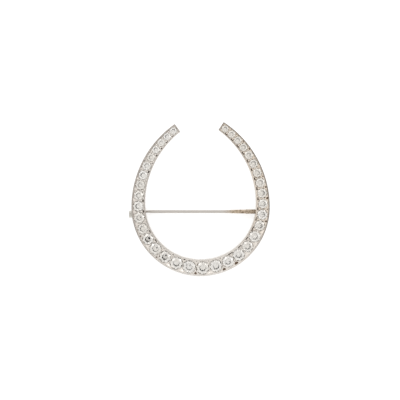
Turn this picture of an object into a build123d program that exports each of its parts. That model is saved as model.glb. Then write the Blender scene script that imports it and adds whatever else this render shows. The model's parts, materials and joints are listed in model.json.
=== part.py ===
from build123d import *
import math
import os
from collections import namedtuple

# A horseshoe brooch: a row of old-cut diamonds, graduated from the bow to the tips, in a white-metal
# setting, with a hinged pin and a roller safety catch on the back.
# It is modelled face up in its own plane, with +X to its right, +Y towards its open end, its flat face at
# the top and the back edge of the bow at z = 0. At the end it is laid down the way it rests by itself, on
# the catch, the hinge and the back edge of the bow.
# All sizes are in millimetres.

# The horseshoe, measured along the middle line of its band
bow_radius = 14.35
arm_radius = 22.2
left_sweep = 53.6
right_sweep = 55.5
bow_width = 3.7
tip_width = 2.1
taper_power = 1.4
band_depth = 2.1
tip_depth = 1.55

# The setting
rim_share = 0.085
end_wall = 0.28
bed_depth = 0.25
girdle_drop = 0.10
seat_gap = 0.035
seat_wall = 0.02
hole_share = 0.45
window_share = 0.62
window_length_share = 0.71
window_depth = 0.45
window_taper = 20.0
window_overrun = 0.2
grain_radius = 0.20
grain_flat = 0.06
grain_gap = 0.06
corner_grain_radius = 0.12
corner_grain_sink = 0.04

# The stones
least_stone_gap = 0.16
middle_stone_shift = 0.5
middle_stone_share = 1.0
turn_step = 67.0
lean = 2.0
lean_step = 137.0

# The cut of a stone, as shares of its diameter or of its radius
table_share = 0.54
crown_share = 0.165
girdle_share = 0.04
pavilion_share = 0.43
culet_share = 0.09
star_share = 0.80
lower_half_share = 0.45

# Hand-set stones differ a little. Each value is a share of the largest stone that its bed would take, in
# order from the middle stone to a tip.
Arm = namedtuple("Arm", "side sizes")
LEFT_ARM = Arm(
    side=-1,
    sizes=(1, 1, 0.94, 0.99, 0.94, 0.93, 0.99, 0.98, 0.93, 0.97, 0.98, 0.97, 0.94, 0.95, 0.94, 0.98, 1),
)
RIGHT_ARM = Arm(
    side=1,
    sizes=(0.98, 0.94, 0.97, 0.94, 1, 0.94, 0.96, 0.92, 0.97, 0.99, 0.96, 1, 1, 1, 0.99, 1, 1),
)

# Clearances
running_gap = 0.04
side_gap = 0.06
overcut = 1.0

# The pin
pin_line = -1.45
wire_radius = 0.36
point_radius = 0.12
taper_length = 4.0
sleeve_wall = 0.04
sleeve_swell = 0.07
sleeve_length = 3.7
wire_overlap = 0.1
shank_length = 3.3
shank_width = 1.0
shank_height = 0.8

# Its hinge
rivet_radius = 0.32
rivet_head = 0.12
rivet_head_rim = 0.18
eye_wall = 0.32
ear_thickness = 0.5
hinge_inset = 0.35
solder_pad = 0.2

# The safety catch
pin_gap = 0.09
slot_gap = 0.04
roller_wall = 0.4
roller_length = 2.8
flange_rim = 0.15
flange_length = 0.3
collar_wall = 0.26
collar_length = 1.9
collar_rise = 0.15
pedestal_width = 2.0
thumb_rise = 0.2
thumb_reach = 1.45
thumb_width = 0.95
thumb_thickness = 1.1
tip_inset = 0.24

# What follows from them
bow_quarter = bow_radius * math.pi / 2
left_length = bow_quarter + arm_radius * math.radians(left_sweep)
right_length = bow_quarter + arm_radius * math.radians(right_sweep)
bow_edge = bow_radius + bow_width / 2
bed_level = band_depth - bed_depth
girdle_level = band_depth - girdle_drop
sleeve_radius = wire_radius + sleeve_wall
sleeve_end_radius = sleeve_radius + sleeve_swell
eye_radius = rivet_radius + running_gap + eye_wall
bore_radius = wire_radius + pin_gap
slot_width = 2 * (wire_radius + slot_gap)
roller_radius = bore_radius + roller_wall
flange_radius = roller_radius + flange_rim
collar_bore = roller_radius + running_gap
collar_radius = collar_bore + collar_wall
mouth_width = slot_width + 2 * running_gap
pin_drop = collar_radius + collar_rise


def place(s):
    """The point of the middle line at arc length s from the bow's bottom, and the way its outside faces."""
    side = 1 if s >= 0 else -1
    turn = abs(s) / bow_radius
    if turn <= math.pi / 2:
        out_x, out_y = math.sin(turn), -math.cos(turn)
        x, y = bow_radius * out_x, bow_radius * out_y
    else:
        climb = (abs(s) - bow_quarter) / arm_radius
        out_x, out_y = math.cos(climb), math.sin(climb)
        x, y = bow_radius - arm_radius + arm_radius * out_x, arm_radius * out_y
    return Vector(side * x, y), Vector(side * out_x, out_y)


def reach(side):
    """How far the middle line runs from the bow's bottom to a tip: the left one or the right one."""
    return left_length if side < 0 else right_length


def band_width(s):
    """The band is widest at the bow and narrows to the tips."""
    return bow_width - (bow_width - tip_width) * min(1.0, abs(s) / reach(s)) ** taper_power


def beside(s, share):
    """A point of the band at arc length s, at a share of the half width outwards from the middle line."""
    point, outwards = place(s)
    return point + outwards * (share * band_width(s) / 2)


def band_face(share, shortening):
    """The horseshoe's outline at a share of its width, with both ends cut square."""
    steps = 11
    left = [-(left_length - shortening) * k / steps for k in range(steps, 0, -1)]
    right = [(right_length - shortening) * k / steps for k in range(steps + 1)]
    stations = left + right
    outer = Spline(*[beside(s, share) for s in stations])
    inner = Spline(*[beside(s, -share) for s in stations])
    ends = [Line(outer @ t, inner @ t) for t in (0, 1)]
    return make_face([outer, inner, *ends])


# The back rises from the bow to the tips, where the smaller stones need less depth.
tip_y = max(place(-left_length)[0].Y, place(right_length)[0].Y)
back_slope = (band_depth - tip_depth) / (tip_y + bow_edge)


def back_level(y):
    return back_slope * (y + bow_edge)


def under_back():
    """The space below the sloping back."""
    across = 5 * bow_edge
    block = Box(across, across, band_depth, align=(Align.CENTER, Align.CENTER, Align.MAX))
    return Pos(0, -bow_edge, 0) * Rot(math.degrees(math.atan(back_slope)), 0, 0) * block


Stone = namedtuple("Stone", "s size")


def stone_size(s, share):
    """A share of the largest stone whose seat stays clear of the rims at arc length s."""
    return share * (band_width(s) * (1 - 2 * rim_share) - 2 * (seat_gap + seat_wall))


def packed_row(sizes, start, fill):
    """Stones side by side from arc length start outwards, each at a share of the fill that its bed allows."""
    row = []
    edge = start
    for share in sizes:
        guess = stone_size(edge + bow_width / 2, fill * share)
        size = stone_size(edge + least_stone_gap + guess / 2, fill * share)
        row.append(Stone(edge + least_stone_gap + size / 2, size))
        edge += least_stone_gap + size
    return row, edge


def arm_stones(arm, start):
    """The stones of one arm: as large as their bed, or as their row allows, with spare room shared out."""
    room = reach(arm.side) - end_wall
    fill = 1.0
    row, edge = packed_row(arm.sizes, start, fill)
    while edge > room:
        fill *= (room - start) / (edge - start)
        row, edge = packed_row(arm.sizes, start, fill)
    spare = (room - edge) / len(row)
    return [Stone(arm.side * (stone.s + spare * (k + 0.5)), stone.size) for k, stone in enumerate(row)]


def all_stones():
    """Every stone in order from the left tip over the bow to the right tip."""
    middle = Stone(middle_stone_shift, stone_size(middle_stone_shift, middle_stone_share))
    left = arm_stones(LEFT_ARM, middle.size / 2 - middle.s)
    right = arm_stones(RIGHT_ARM, middle.size / 2 + middle.s)
    return left[::-1] + [middle] + right


stones = all_stones()

# The round cut has eight facets of each kind, so its corners stand a sixteenth of a turn apart, and its
# girdle has four points for each of the eight.
cut_fold = 8
cut_step = 180.0 / cut_fold
rim_points = 4


def ring_point(radius, turn, level):
    return Vector(radius * math.cos(math.radians(turn)), radius * math.sin(math.radians(turn)), level)


def flat(*points):
    return Face(Wire.make_polygon(points))


def rim_dip(radius, rim_level, inner_radius, inner_level):
    """Where a half facet, which meets the round girdle at two corners, cuts it between them."""
    corner = ring_point(radius, 0, rim_level)
    middle = ring_point(radius, cut_step, rim_level)
    inside = ring_point(inner_radius, cut_step, inner_level)
    between = ring_point(radius, cut_step / 2, rim_level) - corner
    normal = (middle - corner).cross(inside - corner)
    return rim_level - (normal.X * between.X + normal.Y * between.Y) / normal.Z


def main_corner(size):
    """Where the pavilion's mains and halves meet: its radius, and its level from the girdle's upper edge."""
    squeeze = math.cos(math.radians(cut_step))
    fall = (1 - lower_half_share * squeeze) / (1 - culet_share * squeeze)
    return size / 2 * lower_half_share, -size * (girdle_share + pavilion_share * fall)


def stone_solid(size):
    """A round old-cut stone with its girdle's upper edge at z = 0."""
    radius = size / 2
    crown = size * crown_share
    lower_rim = -size * girdle_share
    depth = size * pavilion_share
    table_radius = radius * table_share
    culet_radius = radius * culet_share
    star_radius = radius * star_share
    main_radius, main_level = main_corner(size)
    squeeze = math.cos(math.radians(cut_step))

    star_level = crown * (radius - star_radius * squeeze) / (radius - table_radius)
    upper_dip = rim_dip(radius, 0.0, star_radius, star_level)
    lower_dip = rim_dip(radius, lower_rim, main_radius, main_level)

    corners = [2 * cut_step * k for k in range(cut_fold)]
    around = [cut_step / 2 * k for k in range(rim_points * cut_fold)]
    table = [ring_point(table_radius, turn, crown) for turn in corners]
    culet = [ring_point(culet_radius, turn + cut_step, lower_rim - depth) for turn in corners]
    star = [ring_point(star_radius, turn + cut_step, star_level) for turn in corners]
    main = [ring_point(main_radius, turn + cut_step, main_level) for turn in corners]
    upper = [ring_point(radius, turn, upper_dip if k % 2 else 0.0) for k, turn in enumerate(around)]
    lower = [ring_point(radius, turn, lower_dip if k % 2 else lower_rim) for k, turn in enumerate(around)]

    facets = [flat(*table), flat(*culet)]
    for k in range(cut_fold):
        corner = rim_points * k
        middle = corner + rim_points // 2
        end = (corner + rim_points) % len(around)
        facets.append(flat(table[k], table[(k + 1) % cut_fold], star[k]))
        facets.append(flat(table[k], star[k], upper[corner], star[k - 1]))
        facets.append(flat(culet[k - 1], culet[k], main[k], lower[corner], main[k - 1]))
        facets.append(flat(star[k], upper[corner], upper[corner + 1], upper[middle]))
        facets.append(flat(star[k], upper[middle], upper[middle + 1], upper[end]))
        facets.append(flat(main[k], lower[corner], lower[corner + 1], lower[middle]))
        facets.append(flat(main[k], lower[middle], lower[middle + 1], lower[end]))
    for k in range(len(around)):
        after = (k + 1) % len(around)
        facets.append(flat(upper[k], upper[after], lower[after], lower[k]))
    return Solid(Shell(facets))


def seated(number, stone):
    """Where a stone sits: the middle of its girdle's upper edge, and the little way that it leans."""
    point = place(stone.s)[0]
    way = lean_step * number
    return Pos(point.X, point.Y, girdle_level) * Rot(0, 0, way) * Rot(lean, 0, 0) * Rot(0, 0, -way)


def stone_in_place(number, stone):
    return seated(number, stone) * Rot(0, 0, turn_step * number) * stone_solid(stone.size)


def seat_cutter(number, stone):
    """What is bored out under one stone: a round seat, a cone along the pavilion and a hole to the back."""
    top = girdle_drop + overcut
    bottom = -girdle_level - overcut
    radius = stone.size / 2
    seat_radius = radius + seat_gap
    hole = radius * hole_share
    lower_rim = -stone.size * girdle_share
    main_radius, main_level = main_corner(stone.size)
    slope = (lower_rim - main_level) / (radius - main_radius)
    shoulder = lower_rim - seat_gap
    hole_level = shoulder - (seat_radius - hole) * slope
    profile = make_face(
        Polyline(
            (0, top),
            (seat_radius, top),
            (seat_radius, shoulder),
            (hole, hole_level),
            (hole, bottom),
            (0, bottom),
            close=True,
        )
    )
    return seated(number, stone) * revolve(Plane.XZ * profile, Axis.Z)


def window_cutter(stone):
    """The tapered window in the back, behind one stone."""
    point, outwards = place(stone.s)
    turn = math.degrees(math.atan2(outwards.Y, outwards.X))
    flare = 2 * window_overrun * math.tan(math.radians(window_taper))
    across = band_width(stone.s) * window_share + flare
    along = stone.size * window_length_share + flare
    cut = extrude(Rectangle(across, along), window_depth + window_overrun, taper=window_taper)
    return Pos(point.X, point.Y, back_level(point.Y) - window_overrun) * Rot(0, 0, turn) * cut


def grain(radius):
    """A bead of metal on a round neck, worn flat at its very top, with the bead's middle at z = 0."""
    climb = math.acos(grain_flat / radius)
    top = radius * math.sin(climb)
    bead = CenterArc((0, 0), radius, 0, math.degrees(climb))
    outline = Polyline((grain_flat, top), (0, top), (0, -radius), (radius, -radius), (radius, 0))
    return revolve(Plane.XZ * make_face([bead, outline]), Axis.Z)


def grain_places():
    """Two grains for each pair of neighbours, one on each side, as near to both stones as the gap allows."""
    found = []
    for one, other in zip(stones, stones[1:]):
        first, second = place(one.s)[0], place(other.s)[0]
        apart = (second - first).length
        near = one.size / 2 + grain_gap + grain_radius
        far = other.size / 2 + grain_gap + grain_radius
        along = (apart**2 + near**2 - far**2) / (2 * apart)
        aside = math.sqrt(max(0.0, near**2 - along**2))
        forwards = (second - first).normalized()
        sideways = Vector(-forwards.Y, forwards.X)
        found += [first + forwards * along + sideways * (aside * side) for side in (-1, 1)]
    return found


def corner_places():
    """A small grain in each corner of the bed at the tips."""
    found = []
    for side in (-1, 1):
        s = side * (reach(side) - end_wall)
        point, outwards = place(s)
        half = band_width(s) * (0.5 - rim_share) - corner_grain_radius + corner_grain_sink
        found += [point + outwards * (half * way) for way in (-1, 1)]
    return found


def setting():
    """The horseshoe itself, with its bed, seats, windows and grains."""
    band = extrude(band_face(1, 0), band_depth)
    bed = Pos(0, 0, bed_level) * extrude(band_face(1 - 2 * rim_share, end_wall), overcut)
    cutters = [under_back(), bed]
    for number, stone in enumerate(stones, start=1):
        cutters.append(seat_cutter(number, stone))
        cutters.append(window_cutter(stone))
    grains = [Pos(p.X, p.Y, bed_level + grain_radius / 2) * grain(grain_radius) for p in grain_places()]
    for p in corner_places():
        grains.append(Pos(p.X, p.Y, bed_level + corner_grain_radius / 2) * grain(corner_grain_radius))
    return band - cutters + grains


# The back: where the pin lies, and where its hinge and its catch stand on the arms
arm_x = math.sqrt(bow_radius**2 - pin_line**2)
hinge_x = arm_x - hinge_inset
roller_start = -arm_x - roller_length / 2
roller_end = roller_start + roller_length
collar_end = roller_end - flange_length - side_gap
collar_start = collar_end - collar_length
ear_middle = shank_width / 2 + side_gap + ear_thickness / 2
ear_edge = ear_middle + ear_thickness / 2
pad_top = back_level(pin_line) + solder_pad

# The brooch rests on the lower lip of the collar's mouth, the ears and the back edge of the bow. The tilt is
# worked out from the lip, and the ears are as long as they have to be to touch at that tilt too.
lip_y = pin_line - mouth_width / 2
lip_depth = pin_drop + math.sqrt(collar_radius**2 - (mouth_width / 2) ** 2)
rest_tilt = math.atan2(lip_depth, lip_y + bow_edge)
ear_radius = lip_depth - (ear_edge - mouth_width / 2) * math.tan(rest_tilt) - pin_drop


def along_x(start, end, radius):
    """A round rod along X at the pin's place."""
    return Pos((start + end) / 2, pin_line, -pin_drop) * Rot(0, 90, 0) * Cylinder(radius, end - start)


def along_y(centre_y, length, radius):
    """A round rod along Y at the hinge."""
    return Pos(hinge_x, centre_y, -pin_drop) * Rot(90, 0, 0) * Cylinder(radius, length)


def post(centre_x, centre_y, length, width):
    """A block that stands from the pin's place up into the back of an arm, where it is soldered."""
    return Pos(centre_x, centre_y, (pad_top - pin_drop) / 2) * Box(length, width, pad_top + pin_drop)


def ear(centre_y):
    """One hinge ear: a rounded plate that stands on the back of the arm."""
    plate = post(hinge_x, centre_y, 2 * ear_radius, ear_thickness)
    return plate + along_y(centre_y, ear_thickness, ear_radius)


def ears():
    both = ear(pin_line - ear_middle) + ear(pin_line + ear_middle)
    return both - along_y(pin_line, 2 * (ear_edge + overcut), rivet_radius + running_gap)


def collar():
    """The fixed collar of the catch, open to the back, with the pedestal that it is soldered on by."""
    middle = (collar_start + collar_end) / 2
    ring = along_x(collar_start, collar_end, collar_radius)
    pedestal = post(middle, pin_line, collar_length, pedestal_width)
    bore = along_x(collar_start - overcut, collar_end + overcut, collar_bore)
    mouth = Pos(middle, pin_line, -pin_drop - collar_radius) * Box(
        collar_length + overcut, mouth_width, 2 * collar_radius
    )
    return ring + pedestal - bore - mouth


def catch_roller():
    """The turning tube, slotted for the pin, with a flange at one end and a thumb piece at the other."""
    tube = along_x(roller_start, roller_end, roller_radius)
    flange = along_x(roller_end - flange_length, roller_end, flange_radius)
    bore = along_x(roller_start - overcut, roller_end + overcut, bore_radius)
    slot = Pos(-arm_x, pin_line, -pin_drop - roller_radius) * Box(
        roller_length + overcut, slot_width, 2 * roller_radius
    )
    thumb = extrude(Plane.YZ * SlotOverall(thumb_rise + thumb_reach, thumb_width), thumb_thickness)
    thumb_y = pin_line + (thumb_rise - thumb_reach) / 2
    thumb = Pos(roller_start - thumb_thickness, thumb_y, -pin_drop) * thumb
    return tube + flange - bore - slot + thumb


def frame():
    return setting() + ears() + collar()


def pin_stem():
    """The pin: an eye between the ears, a flat shank, a swelling sleeve and a wire that tapers to a point."""
    shank_start = hinge_x - shank_length
    sleeve_start = shank_start - sleeve_length
    tip = roller_start + tip_inset
    taper_start = tip + taper_length
    eye = along_y(pin_line, shank_width, eye_radius)
    shank = Box(shank_length, shank_width, shank_height)
    shank = Pos(hinge_x - shank_length / 2, pin_line, -pin_drop) * shank
    sleeve = Rot(0, 90, 0) * Cone(sleeve_radius, sleeve_end_radius, sleeve_length)
    sleeve = Pos(sleeve_start + sleeve_length / 2, pin_line, -pin_drop) * sleeve
    wire = along_x(taper_start, sleeve_start + wire_overlap, wire_radius)
    taper = Rot(0, 90, 0) * Cone(point_radius, wire_radius, taper_length)
    taper = Pos(tip + taper_length / 2, pin_line, -pin_drop) * taper
    end = Pos(tip, pin_line, -pin_drop) * Sphere(point_radius)
    hole = along_y(pin_line, shank_width + overcut, rivet_radius + running_gap)
    return eye + shank + sleeve + wire + taper + end - hole


def hinge_rivet():
    """The rivet through both ears and the eye, with a low head at each end."""
    span = 2 * ear_edge + side_gap
    shaft = along_y(pin_line, span, rivet_radius)
    for way in (-1, 1):
        head_y = pin_line + way * (span + rivet_head) / 2
        shaft += along_y(head_y, rivet_head, rivet_radius + rivet_head_rim)
    return shaft


def pieces():
    """Every piece by its name, in the brooch's own plane."""
    found = {
        "frame": frame(),
        "pin_stem": pin_stem(),
        "hinge_rivet": hinge_rivet(),
        "catch_roller": catch_roller(),
    }
    for number, stone in enumerate(stones, start=1):
        found[f"stone_{number:02d}"] = stone_in_place(number, stone)
    return found


def laid_down(found):
    """The pieces as the brooch rests, with the middle of their box over the origin and the floor at z = 0."""
    turned = {name: Rot(math.degrees(rest_tilt), 0, 0) * piece for name, piece in found.items()}
    box = Compound(list(turned.values())).bounding_box()
    move = Pos(-box.center().X, -box.center().Y, -box.min.Z)
    return {name: move * piece for name, piece in turned.items()}


def main():
    os.makedirs("parts", exist_ok=True)
    for name, piece in laid_down(pieces()).items():
        export_step(piece, f"parts/{name}.step")


main()
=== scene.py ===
import bmesh
import bpy
import json
import math
import random
from collections import namedtuple
from mathutils import Matrix, Vector


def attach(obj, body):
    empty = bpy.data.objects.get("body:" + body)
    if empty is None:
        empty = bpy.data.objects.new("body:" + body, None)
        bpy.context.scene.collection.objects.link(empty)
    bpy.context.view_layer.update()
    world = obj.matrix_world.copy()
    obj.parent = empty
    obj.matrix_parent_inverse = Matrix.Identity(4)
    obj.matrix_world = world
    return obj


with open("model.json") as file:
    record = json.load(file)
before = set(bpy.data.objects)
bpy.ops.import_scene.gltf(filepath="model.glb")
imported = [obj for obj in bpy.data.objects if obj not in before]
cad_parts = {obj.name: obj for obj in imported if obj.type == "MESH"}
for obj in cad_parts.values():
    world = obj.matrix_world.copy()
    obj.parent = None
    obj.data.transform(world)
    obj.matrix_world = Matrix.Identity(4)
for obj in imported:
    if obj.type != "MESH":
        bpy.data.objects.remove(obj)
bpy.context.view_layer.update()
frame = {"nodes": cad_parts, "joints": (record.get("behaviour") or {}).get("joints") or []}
nodes = frame["nodes"]
pin_hinge = next(joint for joint in frame["joints"] if joint["name"] == "pin_hinge")

# The brooch's own plane
# The brooch is drawn in its own plane, in millimetres: +X to its right, +Y to its open end, the flat face
# at the top. It rests tilted, so every piece is made in that plane and laid down with one matrix, which is
# worked out from where the pin's hinge is in the frame.
MM = 0.001
FACE_LEVEL = 2.1
BED_LEVEL = 1.85
HINGE_X = 13.9266
PIN_LINE = -1.45
PIN_DROP = 1.3

hinge_axis = Vector(pin_hinge["axis"])
hinge_at = Vector(pin_hinge["pos_m"])
REST_TILT = math.asin(-hinge_axis.z)
tilt = Matrix.Rotation(REST_TILT, 4, "X") @ Matrix.Scale(MM, 4)
LAID_DOWN = Matrix.Translation(hinge_at - tilt @ Vector((HINGE_X, PIN_LINE, -PIN_DROP))) @ tilt
OWN_PLANE = LAID_DOWN.inverted()

# The band
# A half-round bow runs into two arms that sweep in to the open end. The band narrows from the bottom of the
# bow to the tips, and each of its two rims takes the same share of the width.
BOW_RADIUS = 14.35
ARM_RADIUS = 22.2
LEFT_SWEEP = math.radians(53.6)
RIGHT_SWEEP = math.radians(55.5)
BOW_WIDTH = 3.7
TIP_WIDTH = 2.1
TAPER_POWER = 1.4
RIM_SHARE = 0.085
BOW_QUARTER = BOW_RADIUS * math.pi / 2

# The grains between the stones and the cut ridges beside them
# The middle of a grain lies GRAIN_REACH outside the girdles of both its stones. Grains are a little larger
# between larger stones.
GRAIN_RADIUS = 0.205
GRAIN_GROWTH = 0.012
GRAIN_REACH = 0.26
GRAIN_LEVEL = 1.95
CUT_SPREAD = 0.64
CUT_SINK = 0.03
CORNER_WIDTH = 0.30
CORNER_CUT_LEVEL = 2.0
SAME_POINT = 0.001

# The old dirt in the corners of the bed, darkened to paint the shade there
# The two tables give the size of a lump as a share of the usual one. Junction 1 is the one between the first
# two stones from the left tip.
LUMP_WIDTH = 0.17
LUMP_LENGTH = 0.20
LUMP_HEIGHT = 0.16
LUMP_OFF_WALL = 0.14
LUMP_RAGGED = 0.03
WIDTH_CHANCE = (0.9, 1.1)
LENGTH_CHANCE = (0.9, 1.15)
CHANCE_SEED = 7
LONG_LUMPS = range(20, 35)
LONG_LUMP_SHARE = 2.1
OTHER_INNER_LUMP = 0.95
INNER_LUMP_SIZES = {
    1: 1.3, 2: 1.3, 3: 1.3, 4: 1.4, 5: 0.5, 6: 1.6, 7: 0.5, 8: 0.5, 9: 1.8, 10: 1.8, 11: 0.5,
    12: 1.7, 13: 1.8, 14: 0.5, 16: 1.4, 17: 0.5, 18: 0.5, 19: 0.8, 20: 1.4, 21: 1.2, 22: 1.2, 23: 1.4,
}
OUTER_LUMP_SIZES = {
    12: 1.0, 14: 1.0, 17: 1.6, 19: 1.7, 20: 2.3,
    24: 1.3, 25: 0.8, 26: 1.4, 27: 1.2, 28: 0.8, 31: 1.1, 32: 1.3,
}


def band_width(point):
    """How wide the band is at a point of its middle line: widest at the bow, narrowest at the tips."""
    if point.y <= 0:
        along = BOW_RADIUS * math.atan2(abs(point.x), -point.y)
    else:
        along = BOW_QUARTER + ARM_RADIUS * math.atan2(point.y, abs(point.x) - BOW_RADIUS + ARM_RADIUS)
    whole = BOW_QUARTER + ARM_RADIUS * (LEFT_SWEEP if point.x < 0 else RIGHT_SWEEP)
    return BOW_WIDTH - (BOW_WIDTH - TIP_WIDTH) * min(1.0, along / whole) ** TAPER_POWER


def stone_places():
    """The middle and the radius of every stone's girdle, in the brooch's own plane."""
    found = []
    for name in sorted(n for n in nodes if n.startswith("stone_")):
        corners = [OWN_PLANE @ v.co for v in nodes[name].data.vertices]
        middle_x = (min(c.x for c in corners) + max(c.x for c in corners)) / 2
        middle_y = (min(c.y for c in corners) + max(c.y for c in corners)) / 2
        middle = Vector((middle_x, middle_y))
        radius = max((Vector((c.x, c.y)) - middle).length for c in corners)
        found.append((middle, radius))
    return found


def finished(name, bm, material, smooth, body):
    """Lays a mesh down with the brooch and makes it a piece of the object."""
    bmesh.ops.recalc_face_normals(bm, faces=bm.faces)
    bmesh.ops.transform(bm, matrix=LAID_DOWN, verts=bm.verts)
    mesh = bpy.data.meshes.new(name)
    bm.to_mesh(mesh)
    bm.free()
    mesh.materials.append(material)
    if smooth:
        mesh.shade_smooth()
    else:
        mesh.shade_flat()
    piece = bpy.data.objects.new(name, mesh)
    bpy.context.scene.collection.objects.link(piece)
    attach(piece, body)
    return piece


# Shader nodes
def feed(tree, node, inputs):
    """Sets the inputs of a node. An input is a value or the socket that feeds it."""
    for key, value in inputs.items():
        if isinstance(value, bpy.types.NodeSocket):
            tree.links.new(value, node.inputs[key])
        else:
            node.inputs[key].default_value = value


def add(tree, kind, inputs=None, **settings):
    """Adds one node with its settings and its inputs."""
    node = tree.nodes.new(kind)
    for key, value in settings.items():
        setattr(node, key, value)
    feed(tree, node, inputs or {})
    return node


def group(name, inputs, outputs):
    """An empty shader node group with its named sockets, given as name and kind."""
    tree = bpy.data.node_groups.new(name, "ShaderNodeTree")
    for socket, kind in inputs.items():
        tree.interface.new_socket(socket, in_out="INPUT", socket_type=kind)
    for socket, kind in outputs.items():
        tree.interface.new_socket(socket, in_out="OUTPUT", socket_type=kind)
    return tree, tree.nodes.new("NodeGroupInput"), tree.nodes.new("NodeGroupOutput")


def math_node(tree, operation, *values):
    """One sum of the shader, on values or sockets."""
    return add(tree, "ShaderNodeMath", dict(enumerate(values)), operation=operation).outputs[0]


def both(tree, one, other):
    """Where two masks overlap."""
    return math_node(tree, "MULTIPLY", one, other)


def either(tree, one, other):
    """Where at least one of two masks is."""
    return math_node(tree, "MAXIMUM", one, other)


def ramp(tree, value, span):
    """0 where the span begins and before it, 1 where it ends and past it, and smooth between them."""
    inputs = {"Value": value, "From Min": span[0], "From Max": span[1]}
    return add(tree, "ShaderNodeMapRange", inputs, interpolation_type="SMOOTHSTEP").outputs["Result"]


def mix(tree, factor, one, other):
    """One colour, turned into the other by the factor."""
    inputs = {"Factor": factor, 6: one, 7: other}
    return add(tree, "ShaderNodeMix", inputs, data_type="RGBA", blend_type="MIX").outputs[2]


def noise(tree, vector, scale, detail, roughness=0.5):
    """A cloudy pattern from 0 to 1."""
    inputs = {"Vector": vector, "Scale": scale, "Detail": detail, "Roughness": roughness}
    return add(tree, "ShaderNodeTexNoise", inputs).outputs["Fac"]


def bumped(tree, height, strength, depth, under=None):
    """A surface dented by a height, up to a depth in millimetres, over the surface that lies under it."""
    inputs = {"Strength": strength, "Distance": depth * MM, "Height": height}
    if under is not None:
        inputs["Normal"] = under
    return add(tree, "ShaderNodeBump", inputs).outputs["Normal"]


# Shared effects
SCRATCH_TURN = (0.2, 0.1, 0.7)
SCRATCH_STRETCH = (1, 7, 3)
DENT_SHARE = 2.0


def brooch_plane_group():
    """Object coordinates turned into millimetres in the brooch's own plane."""
    tree, given, out = group(
        "brooch plane",
        {"Vector": "NodeSocketVector"},
        {"Vector": "NodeSocketVector"},
    )
    place, turn, scale = OWN_PLANE.decompose()
    inputs = {
        "Vector": given.outputs["Vector"],
        "Location": place,
        "Rotation": turn.to_euler(),
        "Scale": scale,
    }
    mapping = add(tree, "ShaderNodeMapping", inputs)
    feed(tree, out, {"Vector": mapping.outputs["Vector"]})
    return tree


def wear_group():
    """Fine scratches and a soft unevenness of a metal that has been worn and polished for years."""
    tree, given, out = group(
        "worn polish",
        {"Vector": "NodeSocketVector", "Fineness": "NodeSocketFloat"},
        {"Height": "NodeSocketFloat", "Patches": "NodeSocketFloat"},
    )
    vector = given.outputs["Vector"]
    inputs = {"Vector": vector, "Rotation": SCRATCH_TURN, "Scale": SCRATCH_STRETCH}
    stretched = add(tree, "ShaderNodeMapping", inputs).outputs["Vector"]
    scratches = noise(tree, stretched, scale=given.outputs["Fineness"], detail=3.0, roughness=0.6)
    dents = noise(tree, vector, scale=1.6, detail=2.0)
    height = math_node(tree, "ADD", scratches, math_node(tree, "MULTIPLY", dents, DENT_SHARE))
    patches = noise(tree, vector, scale=0.9, detail=4.0, roughness=0.65)
    feed(tree, out, {"Height": height, "Patches": patches})
    return tree


def band_group():
    """Where a point lies on the band. Across goes from -1 at its inner edge to 1 at its outer edge, and along
    goes from -1 at the left tip over the bow to 1 at the right tip."""
    tree, given, out = group(
        "place on the band",
        {"Vector": "NodeSocketVector"},
        {"Across": "NodeSocketFloat", "Along": "NodeSocketFloat"},
    )
    split = add(tree, "ShaderNodeSeparateXYZ", {"Vector": given.outputs["Vector"]})
    x, y = split.outputs["X"], split.outputs["Y"]
    on_arm = math_node(tree, "GREATER_THAN", y, 0.0)
    on_right = math_node(tree, "GREATER_THAN", x, 0.0)
    shift = math_node(tree, "MULTIPLY", on_arm, ARM_RADIUS - BOW_RADIUS)
    radius = math_node(tree, "ADD", shift, BOW_RADIUS)
    side_x = math_node(tree, "ADD", math_node(tree, "ABSOLUTE", x), shift)
    square = math_node(tree, "ADD", math_node(tree, "POWER", side_x, 2.0), math_node(tree, "MULTIPLY", y, y))
    off = math_node(tree, "SUBTRACT", math_node(tree, "SQRT", square), radius)
    turn = math_node(tree, "ARCTAN2", y, side_x)
    length = math_node(tree, "MULTIPLY_ADD", radius, turn, BOW_QUARTER)
    right_more = ARM_RADIUS * (RIGHT_SWEEP - LEFT_SWEEP)
    whole = math_node(tree, "MULTIPLY_ADD", on_right, right_more, BOW_QUARTER + ARM_RADIUS * LEFT_SWEEP)
    share = math_node(tree, "MINIMUM", math_node(tree, "DIVIDE", length, whole), 1.0)
    narrowing = math_node(tree, "POWER", share, TAPER_POWER)
    half = math_node(tree, "MULTIPLY_ADD", narrowing, (TIP_WIDTH - BOW_WIDTH) / 2, BOW_WIDTH / 2)
    side = math_node(tree, "MULTIPLY_ADD", on_right, 2.0, -1.0)
    across = math_node(tree, "DIVIDE", off, half)
    along = math_node(tree, "MULTIPLY", share, side)
    feed(tree, out, {"Across": across, "Along": along})
    return tree


brooch_plane = brooch_plane_group()
worn_polish = wear_group()
place_on_band = band_group()


def start_material(name):
    """A new material, with its nodes emptied to the shader, the output and the place in the own plane."""
    material = bpy.data.materials.new(name)
    material.use_nodes = True
    tree = material.node_tree
    tree.nodes.clear()
    output = tree.nodes.new("ShaderNodeOutputMaterial")
    shader = tree.nodes.new("ShaderNodeBsdfPrincipled")
    tree.links.new(shader.outputs["BSDF"], output.inputs["Surface"])
    where = add(tree, "ShaderNodeTexCoord").outputs["Object"]
    plane = add(tree, "ShaderNodeGroup", {"Vector": where}, node_tree=brooch_plane)
    return material, tree, shader, plane.outputs["Vector"]


def worn(tree, plane, fineness):
    """The height and the patches of a worn polish."""
    inputs = {"Vector": plane, "Fineness": fineness}
    return add(tree, "ShaderNodeGroup", inputs, node_tree=worn_polish).outputs


def on_band(tree, plane):
    """Where a point lies across and along the band."""
    return add(tree, "ShaderNodeGroup", {"Vector": plane}, node_tree=place_on_band).outputs


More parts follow.
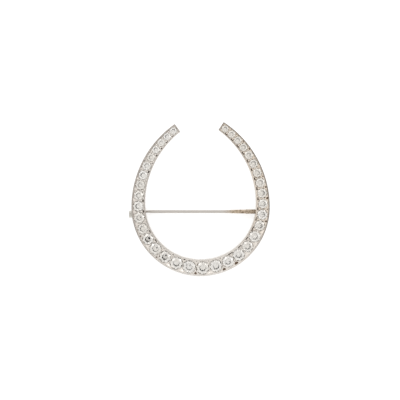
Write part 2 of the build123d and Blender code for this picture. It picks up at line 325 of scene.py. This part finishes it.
# White metal
PALE_METAL = (0.87, 0.83, 0.785, 1)
WARM_METAL = (0.84, 0.76, 0.67, 1)
HIGHLIGHT_METAL = (0.95, 0.92, 0.885, 1)
SIDE_SHADE_METAL = (0.52, 0.48, 0.44, 1)
TAUPE_METAL = (0.62, 0.575, 0.535, 1)
BROWN_METAL = (0.51, 0.445, 0.385, 1)
CATCH_METAL = (0.64, 0.625, 0.585, 1)
# The next two colours are painted shade: the dark line along the rims' edges and the end walls.
EDGE_SHADE_METAL = (0.33, 0.30, 0.275, 1)
DARK_EDGE_SHADE_METAL = (0.22, 0.195, 0.17, 1)
ROSY_HOLLOW_SHADE = (0.70, 0.60, 0.54, 1)
BROWN_TARNISH = (0.10, 0.065, 0.04, 1)

# Its finishes, its painted highlight and its painted shade change over these spans, from where each begins to
# where it is full.
# Along the band, with the bow and the end walls read on both sides alike
BOW = (0.44, 0.18)
BOW_BOTTOM = (0.2, 0.08)
END_WALL = (0.990, 0.9935)
END_SHADE_LINE = (0.9955, 0.998)
LEFT_ARM = (-0.25, -0.5)
RIGHT_ARM = (0.25, 0.5)
SHORT_OF_RIGHT_TIP = (0.9, 0.7)
# Across the band
INNER_SIDE = (0.0, -0.4)
OUTER_SIDE = (0.0, 0.5)
OUTER_CORNER = (0.55, 0.75)
OFF_INNER_CORNER = (-0.7, -0.5)
# Off the middle line of the band, towards either rim
RIM_BLEND = 0.02
RIM = (1 - 2 * RIM_SHARE - RIM_BLEND, 1 - 2 * RIM_SHARE + RIM_BLEND)
RIM_SHADE_LINE = (0.90, 0.95)
WIDE_RIM_SHADE_LINE = (0.86, 0.91)
WITHIN_BAND = (1.08, 1.03)
BEYOND_BAND = (1.05, 1.12)
# Levels, in millimetres
NEAR_FACE = (BED_LEVEL - 0.2, BED_LEVEL)
DOWN_THE_SIDE = (BED_LEVEL - 0.15, 1.2)
# The open share of what surrounds a point, over which the painted shade of the hollows comes in, and the
# patches of the worn polish
HOLLOW = (0.60, 0.15)
GRIMY_PATCHES = (0.38, 0.62)
ROUGH_PATCHES = (0.3, 0.7)

# How far a hollow is felt and an edge is rounded, in millimetres
HOLLOW_REACH = 0.35
EDGE_ROUNDING = 0.05
# How strong the finishes and the painted shade are, as shares
BOW_LIGHTENED = 0.40
SHADE_LINE_FADED = 0.66
INNER_SHADE_FADING = 0.85
SIDE_SHADE_SHARE = 0.45
SIDE_SHADE_CHANGE = 0.7
METAL_ROUGHNESS = (0.16, 0.34)

MetalPlace = namedtuple("MetalPlace", "across along off_middle off_bow level at_bow on_right_arm near_face")


def metal_place(tree, plane):
    """Where a point of the metal lies, and the masks that more than one of its finishes uses."""
    band = on_band(tree, plane)
    across, along = band["Across"], band["Along"]
    off_middle = math_node(tree, "ABSOLUTE", across)
    off_bow = math_node(tree, "ABSOLUTE", along)
    level = add(tree, "ShaderNodeSeparateXYZ", {"Vector": plane}).outputs["Z"]
    at_bow = ramp(tree, off_bow, BOW)
    on_right_arm = ramp(tree, along, RIGHT_ARM)
    near_face = ramp(tree, level, NEAR_FACE)
    return MetalPlace(across, along, off_middle, off_bow, level, at_bow, on_right_arm, near_face)


def rim_colour(tree, place):
    """The tops of the rims: pale at the bow with a painted highlight outside at its bottom, taupe on the left
    arm, and on the right arm brown outside and warm inside. A dark line of painted shade follows their edges,
    and fades at the bow and along the inside."""
    outer_side = ramp(tree, place.across, OUTER_SIDE)
    inner_side = ramp(tree, place.across, INNER_SIDE)
    inner_side = both(tree, inner_side, ramp(tree, place.along, SHORT_OF_RIGHT_TIP))
    # Painted highlight: the outer side of the rims at the bottom of the bow is lightened.
    bright = both(tree, ramp(tree, place.off_bow, BOW_BOTTOM), outer_side)
    colour = mix(tree, place.on_right_arm, mix(tree, place.at_bow, TAUPE_METAL, PALE_METAL), BROWN_METAL)
    colour = mix(tree, bright, colour, HIGHLIGHT_METAL)
    colour = mix(tree, both(tree, inner_side, place.on_right_arm), colour, WARM_METAL)

    # Painted shade: a dark line along the rims' edges and the end walls, darker and wider outside on the
    # right arm.
    edge = either(tree, ramp(tree, place.off_middle, RIM_SHADE_LINE), ramp(tree, place.off_bow, END_SHADE_LINE))
    fading = either(tree, place.at_bow, math_node(tree, "MULTIPLY", inner_side, INNER_SHADE_FADING))
    line = both(tree, edge, math_node(tree, "MULTIPLY_ADD", fading, -SHADE_LINE_FADED, 1.0))
    deep_edge_shade = both(tree, place.on_right_arm, outer_side)
    line = either(tree, line, both(tree, deep_edge_shade, ramp(tree, place.off_middle, WIDE_RIM_SHADE_LINE)))
    return mix(tree, line, colour, mix(tree, deep_edge_shade, EDGE_SHADE_METAL, DARK_EDGE_SHADE_METAL))


def body_colour(tree, place, patches):
    """All but the rims: the bed pale, warm on the right arm and taupe along the outer rim of the left one,
    the sides darker with a painted shade that is uneven in patches, and what stands out beyond the band, such
    as the catch, grey."""
    # Painted shade: down the sides the metal is darkened, more in some patches than in others.
    side = both(tree, ramp(tree, place.level, DOWN_THE_SIDE), ramp(tree, place.off_middle, WITHIN_BAND))
    side_shade = math_node(tree, "MULTIPLY_ADD", patches, SIDE_SHADE_CHANGE, SIDE_SHADE_SHARE)
    colour = mix(tree, place.on_right_arm, PALE_METAL, WARM_METAL)
    colour = mix(tree, both(tree, side, side_shade), colour, SIDE_SHADE_METAL)
    outer_left = both(tree, ramp(tree, place.across, OUTER_CORNER), ramp(tree, place.along, LEFT_ARM))
    colour = mix(tree, both(tree, outer_left, place.near_face), colour, TAUPE_METAL)
    return mix(tree, ramp(tree, place.off_middle, BEYOND_BAND), colour, CATCH_METAL)


def white_metal():
    """White metal with a cream cast, darkened with a rosy painted shade in its hollows, and brown with
    tarnish in patches of them that polish never reaches.
    """
    material, tree, shader, plane = start_material("white metal")
    wear = worn(tree, plane, fineness=4.0)
    place = metal_place(tree, plane)
    rim = either(tree, ramp(tree, place.off_middle, RIM), ramp(tree, place.off_bow, END_WALL))
    body = body_colour(tree, place, wear["Patches"])
    colour = mix(tree, both(tree, rim, place.near_face), body, rim_colour(tree, place))

    # Painted shade: every hollow, found by ambient occlusion, is darkened with a rosy cast, less at the bow;
    # brown tarnish lies in patches of the hollows.
    reach = {"Distance": HOLLOW_REACH * MM}
    open_share = add(tree, "ShaderNodeAmbientOcclusion", reach, only_local=True, samples=6).outputs["AO"]
    lighter_at_bow = both(tree, place.at_bow, ramp(tree, place.across, OFF_INNER_CORNER))
    kept = math_node(tree, "MULTIPLY_ADD", lighter_at_bow, -BOW_LIGHTENED, 1.0)
    hollow = both(tree, ramp(tree, open_share, HOLLOW), kept)
    grime = both(tree, hollow, ramp(tree, wear["Patches"], GRIMY_PATCHES))
    colour = mix(tree, hollow, colour, ROSY_HOLLOW_SHADE)
    colour = mix(tree, grime, colour, BROWN_TARNISH)

    roughness = add(
        tree,
        "ShaderNodeMapRange",
        {
            "Value": wear["Patches"],
            "From Min": ROUGH_PATCHES[0],
            "From Max": ROUGH_PATCHES[1],
            "To Min": METAL_ROUGHNESS[0],
            "To Max": METAL_ROUGHNESS[1],
        },
    )
    rounded = add(tree, "ShaderNodeBevel", {"Radius": EDGE_ROUNDING * MM}, samples=6).outputs["Normal"]
    finish = {
        "Base Color": colour,
        "Metallic": 1.0,
        "Roughness": roughness.outputs["Result"],
        "Normal": bumped(tree, wear["Height"], strength=0.35, depth=0.01, under=rounded),
    }
    feed(tree, shader, finish)
    return material


# Pin
# It turns golden this far to the right of the brooch's middle, in millimetres.
GOLDEN_END = (5.0, 8.5)
SPECKLE = (0.46, 0.62)
WIRE_METAL = (0.60, 0.57, 0.54, 1)
GOLDEN_METAL = (0.60, 0.50, 0.39, 1)
SPECKLE_METAL = (0.24, 0.17, 0.11, 1)
WIRE_ROUGHNESS = 0.38
SPECKLE_ROUGHNESS = 0.2


def pin_metal():
    """Grey wire that turns golden and speckled on the sleeve and the shank."""
    material, tree, shader, plane = start_material("pin metal")
    wear = worn(tree, plane, fineness=5.0)
    rightwards = add(tree, "ShaderNodeSeparateXYZ", {"Vector": plane}).outputs["X"]
    golden = ramp(tree, rightwards, GOLDEN_END)
    speckle = noise(tree, plane, scale=2.2, detail=5.0, roughness=0.75)
    spots = both(tree, golden, ramp(tree, speckle, SPECKLE))
    colour = mix(tree, golden, WIRE_METAL, GOLDEN_METAL)
    finish = {
        "Base Color": mix(tree, spots, colour, SPECKLE_METAL),
        "Metallic": 1.0,
        "Roughness": math_node(tree, "MULTIPLY_ADD", spots, SPECKLE_ROUGHNESS, WIRE_ROUGHNESS),
        "Normal": bumped(tree, wear["Height"], strength=0.4, depth=0.012),
    }
    feed(tree, shader, finish)
    return material


# Stones
CLEAR_STONE = (0.96, 0.95, 0.93, 1)
CREAMY_STONE = (0.88, 0.845, 0.785, 1)
CREAMY_CLOUDS = (0.35, 0.65)
CREAMY_ARM = (0.35, 0.7)
CREAMY_ARM_SHARE = 1.25
DIAMOND_IOR = 2.417


def diamond():
    """Old-cut diamond: clear, with a cream cast in some stones and all up the right arm."""
    material, tree, shader, plane = start_material("diamond")
    clouds = noise(tree, plane, scale=0.35, detail=2.0, roughness=0.6)
    right_arm = ramp(tree, on_band(tree, plane)["Along"], CREAMY_ARM)
    creamy_arm = math_node(tree, "MULTIPLY", right_arm, CREAMY_ARM_SHARE)
    cast = either(tree, ramp(tree, clouds, CREAMY_CLOUDS), creamy_arm)
    finish = {
        "Base Color": mix(tree, cast, CLEAR_STONE, CREAMY_STONE),
        "Transmission Weight": 1.0,
        "IOR": DIAMOND_IOR,
        "Roughness": 0.0,
    }
    feed(tree, shader, finish)
    return material


# Dirt and painted shade
TOWARDS_OUTER_WALL = (-0.2, 0.2)
# These colours are painted shade as well as dirt: nearly black along the inner rim, brown along the outer
# one.
BLACK_DIRT_SHADE = (0.012, 0.008, 0.005, 1)
DARK_DIRT_SHADE = (0.07, 0.045, 0.028, 1)
BROWN_DIRT_SHADE = (0.07, 0.045, 0.03, 1)
PALE_DIRT_SHADE = (0.26, 0.18, 0.125, 1)


def dirt_and_painted_shade():
    """Old dirt, dry and crumbly, darkened to paint the shade in the corners: nearly black along the inner rim
    and brown along the outer one.
    """
    material, tree, shader, plane = start_material("dirt and painted shade")
    crumbs = noise(tree, plane, scale=9.0, detail=3.0)
    outer = ramp(tree, on_band(tree, plane)["Across"], TOWARDS_OUTER_WALL)
    inner_colour = mix(tree, crumbs, BLACK_DIRT_SHADE, DARK_DIRT_SHADE)
    outer_colour = mix(tree, crumbs, BROWN_DIRT_SHADE, PALE_DIRT_SHADE)
    finish = {
        "Base Color": mix(tree, outer, inner_colour, outer_colour),
        "Roughness": 0.8,
        "Specular IOR Level": 0.2,
        "Normal": bumped(tree, crumbs, strength=0.6, depth=0.03),
    }
    feed(tree, shader, finish)
    return material


setting_metal = white_metal()
wire_metal = pin_metal()
stone_glass = diamond()
corner_dirt_and_shade = dirt_and_painted_shade()

for name, node in nodes.items():
    if name.startswith("stone_"):
        finish = stone_glass
    elif name == "pin_stem":
        finish = wire_metal
    else:
        finish = setting_metal
    node.data.materials.clear()
    node.data.materials.append(finish)


# Grains, cuts and dirt with painted shade
# Beside each gap between two stones a grain stands on either side. Towards the outer rim the metal rises
# from it in a three-sided ridge that meets the wall, or in some places old dirt, darkened as painted shade,
# lies there instead. Towards the inner rim a lower ridge stops short of the wall, and old dirt darkened as
# painted shade fills the corner between them.
# A junction is one side of a gap: its number from the left tip, the middle of its grain, the foot of the wall
# beside it, the way along the band, half the length of its ridge and the two stones' radii together.
Junction = namedtuple("Junction", "number grain edge forwards spread size")
OUTWARDS = -1
INWARDS = 1


def junctions(side):
    """The junctions along the outer or the inner side of the band, from the left tip to the right one."""
    stones = stone_places()
    found = []
    for number, ((first, radius), (second, next_radius)) in enumerate(zip(stones, stones[1:]), start=1):
        apart = (second - first).length
        near, far = radius + GRAIN_REACH, next_radius + GRAIN_REACH
        along = (apart**2 + near**2 - far**2) / (2 * apart)
        aside = math.sqrt(max(0.0, near**2 - along**2))
        forwards = (second - first).normalized()
        sideways = Vector((-forwards.y, forwards.x))
        middle = first + forwards * along
        wall = band_width(middle) * (0.5 - RIM_SHARE)
        grain = middle + sideways * (aside * side)
        edge = middle + sideways * (wall * side)
        found.append(Junction(number, grain, edge, forwards, CUT_SPREAD * apart / 2, radius + next_radius))
    return found


def grain_row(name, places):
    """Round grains of metal that stand in the bed."""
    bm = bmesh.new()
    for place in places:
        at = Matrix.Translation((place.grain.x, place.grain.y, GRAIN_LEVEL))
        radius = GRAIN_RADIUS + GRAIN_GROWTH * place.size
        bmesh.ops.create_icosphere(bm, subdivisions=2, radius=radius, matrix=at)
    return finished(name, bm, setting_metal, True, "setting")


def cut_row(name, places, off_wall, top_level):
    """Three-sided ridges, highest towards the wall, which they touch or leave a corner free beside."""
    bm = bmesh.new()
    for place in places:
        low = BED_LEVEL - CUT_SINK
        back = place.edge + (place.grain - place.edge).normalized() * off_wall
        reach = place.forwards * place.spread
        feet = [back - reach, back + reach, place.grain]
        ridge = bmesh.ops.create_cone(bm, cap_ends=True, segments=3, radius1=1.0, radius2=0.0, depth=1.0)
        base = [v for v in ridge["verts"] if v.co.z < 0]
        top = [v for v in ridge["verts"] if v.co.z > 0]
        for vert, foot in zip(base, feet):
            vert.co = (foot.x, foot.y, low)
        for vert in top:
            vert.co = (back.x, back.y, top_level)
    bmesh.ops.remove_doubles(bm, verts=bm.verts, dist=SAME_POINT)
    return finished(name, bm, setting_metal, False, "setting")


def dirt_and_shade_row(name, lumps, dice):
    """Lumps of old dirt at the foot of the wall, darkened to paint the shade there, each given with its size
    and how far it is drawn out.
    """
    bm = bmesh.new()
    for place, share, stretch in lumps:
        at = place.edge + (place.grain - place.edge).normalized() * LUMP_OFF_WALL
        turn = math.atan2(place.forwards.y, place.forwards.x)
        length = LUMP_LENGTH * share * stretch * dice.uniform(*LENGTH_CHANCE)
        width = LUMP_WIDTH * share * dice.uniform(*WIDTH_CHANCE)
        size = Matrix.Diagonal((length, width, LUMP_HEIGHT, 1))
        where = Matrix.Translation((at.x, at.y, BED_LEVEL)) @ Matrix.Rotation(turn, 4, "Z") @ size
        for vert in bmesh.ops.create_icosphere(bm, subdivisions=2, radius=1.0, matrix=where)["verts"]:
            vert.co += Vector([dice.uniform(-LUMP_RAGGED, LUMP_RAGGED) for axis in range(3)])
    return finished(name, bm, corner_dirt_and_shade, True, "setting")


outer, inner = junctions(OUTWARDS), junctions(INWARDS)
outer_ridges = [place for place in outer if place.number not in OUTER_LUMP_SIZES]
outer_lumps = [(place, OUTER_LUMP_SIZES[place.number], 1.0) for place in outer if place.number in OUTER_LUMP_SIZES]
inner_lumps = []
for place in inner:
    share = INNER_LUMP_SIZES.get(place.number, OTHER_INNER_LUMP)
    stretch = LONG_LUMP_SHARE if place.number in LONG_LUMPS else 1.0
    inner_lumps.append((place, share, stretch))

dice = random.Random(CHANCE_SEED)
grain_row("outer_grains", outer)
grain_row("inner_grains", inner)
cut_row("outer_cuts", outer_ridges, off_wall=0.0, top_level=FACE_LEVEL)
cut_row("inner_cuts", inner, off_wall=CORNER_WIDTH, top_level=CORNER_CUT_LEVEL)
# Dark lumps in the corners: old dirt, darkened to paint the shade there.
dirt_and_shade_row("outer_dirt_and_shade", outer_lumps, dice)
dirt_and_shade_row("inner_dirt_and_shade", inner_lumps, dice)


# Floor, in metres
FLOOR_HALF = 1.5
FLOOR_GREY = (0.50, 0.50, 0.50, 1)
FLOOR_GLOW = (1, 1, 1, 1)
FLOOR_GLOW_STRENGTH = 0.68


def floor():
    """A plain pale floor that glows a little, so that it comes out white."""
    bm = bmesh.new()
    bmesh.ops.create_grid(bm, x_segments=1, y_segments=1, size=FLOOR_HALF)
    mesh = bpy.data.meshes.new("floor")
    bm.to_mesh(mesh)
    bm.free()
    plane = bpy.data.objects.new("floor", mesh)
    bpy.context.scene.collection.objects.link(plane)
    material = bpy.data.materials.new("pale floor")
    material.use_nodes = True
    tree = material.node_tree
    finish = {
        "Base Color": FLOOR_GREY,
        "Emission Color": FLOOR_GLOW,
        "Emission Strength": FLOOR_GLOW_STRENGTH,
        "Roughness": 0.9,
        "Specular IOR Level": 0.1,
    }
    feed(tree, tree.nodes["Principled BSDF"], finish)
    mesh.materials.append(material)


floor()


# Camera
# The photograph looks square at the face. The middle of the picture is at VIEW_CENTRE in the own plane, and
# the picture spans VIEW_FIELD there. NEAREST alone is in metres.
VIEW_CENTRE = Vector((-0.13, 1.27, FACE_LEVEL))
VIEW_DISTANCE = 140.0
VIEW_FIELD = 91.88
SENSOR = 36.0
NEAREST = 0.01


def camera():
    """The camera, square above the tilted face."""
    data = bpy.data.cameras.new("camera")
    data.sensor_width = SENSOR
    data.lens = SENSOR * VIEW_DISTANCE / VIEW_FIELD
    data.clip_start = NEAREST
    eye = bpy.data.objects.new("camera", data)
    eye.location = LAID_DOWN @ (VIEW_CENTRE + Vector((0, 0, VIEW_DISTANCE)))
    eye.rotation_euler = (REST_TILT, 0, 0)
    bpy.context.scene.collection.objects.link(eye)
    bpy.context.scene.camera = eye


camera()


# Light
# Two weak softboxes, with places and sizes in metres, stand in a pale tent. A patch of the tent has its
# place, as degrees round from +X and degrees up from the table, and the cosines of the angles off its middle
# at which it begins and is full.
Patch = namedtuple("Patch", "turn height span")
CEILING = Patch(-90, 71.6, (0.55, 0.88))
LENS = Patch(-115, 71, (0.9966, 0.9984))
DARK_CARD = Patch(-157.5, 65, (0.9960, 0.9980))
WALL_LIGHT = (0.98, 0.965, 0.945, 1)
CEILING_LIGHT = (0.905, 0.89, 0.868, 1)
DARK_LIGHT = (0.015, 0.015, 0.015, 1)


def softbox(name, place, width, height, power, colour):
    """A soft panel that faces the brooch."""
    data = bpy.data.lights.new(name, "AREA")
    data.shape = "RECTANGLE"
    data.size = width
    data.size_y = height
    data.energy = power
    data.color = colour
    lamp = bpy.data.objects.new(name, data)
    lamp.location = place
    lamp.rotation_euler = Vector(place).to_track_quat("Z", "Y").to_euler()
    bpy.context.scene.collection.objects.link(lamp)


def close_to(tree, way, patch):
    """A soft round patch of the tent: 0 outside it, 1 inside."""
    turn, height = math.radians(patch.turn), math.radians(patch.height)
    there = Vector((math.cos(height) * math.cos(turn), math.cos(height) * math.sin(turn), math.sin(height)))
    nearness = add(tree, "ShaderNodeVectorMath", {0: way, 1: there}, operation="DOT_PRODUCT").outputs["Value"]
    return ramp(tree, nearness, patch.span)


def studio():
    """A pale tent round the table: brightest along its walls and softer above, with a dark opening for the
    lens and a dark card, which show as the black facets of a few stones."""
    world = bpy.data.worlds.new("studio")
    world.use_nodes = True
    tree = world.node_tree
    way = add(tree, "ShaderNodeTexCoord").outputs["Generated"]
    dark = either(tree, close_to(tree, way, LENS), close_to(tree, way, DARK_CARD))
    light = mix(tree, close_to(tree, way, CEILING), WALL_LIGHT, CEILING_LIGHT)
    feed(tree, tree.nodes["Background"], {"Color": mix(tree, dark, light, DARK_LIGHT)})
    bpy.context.scene.world = world


softbox("key", (-0.30, 0.28, 0.30), width=0.30, height=0.22, power=0.22, colour=(1.0, 0.985, 0.96))
softbox("fill", (0.36, 0.10, 0.26), width=0.24, height=0.30, power=0.14, colour=(0.98, 0.985, 1.0))
studio()
bpy.context.scene.view_settings.view_transform = "Standard"
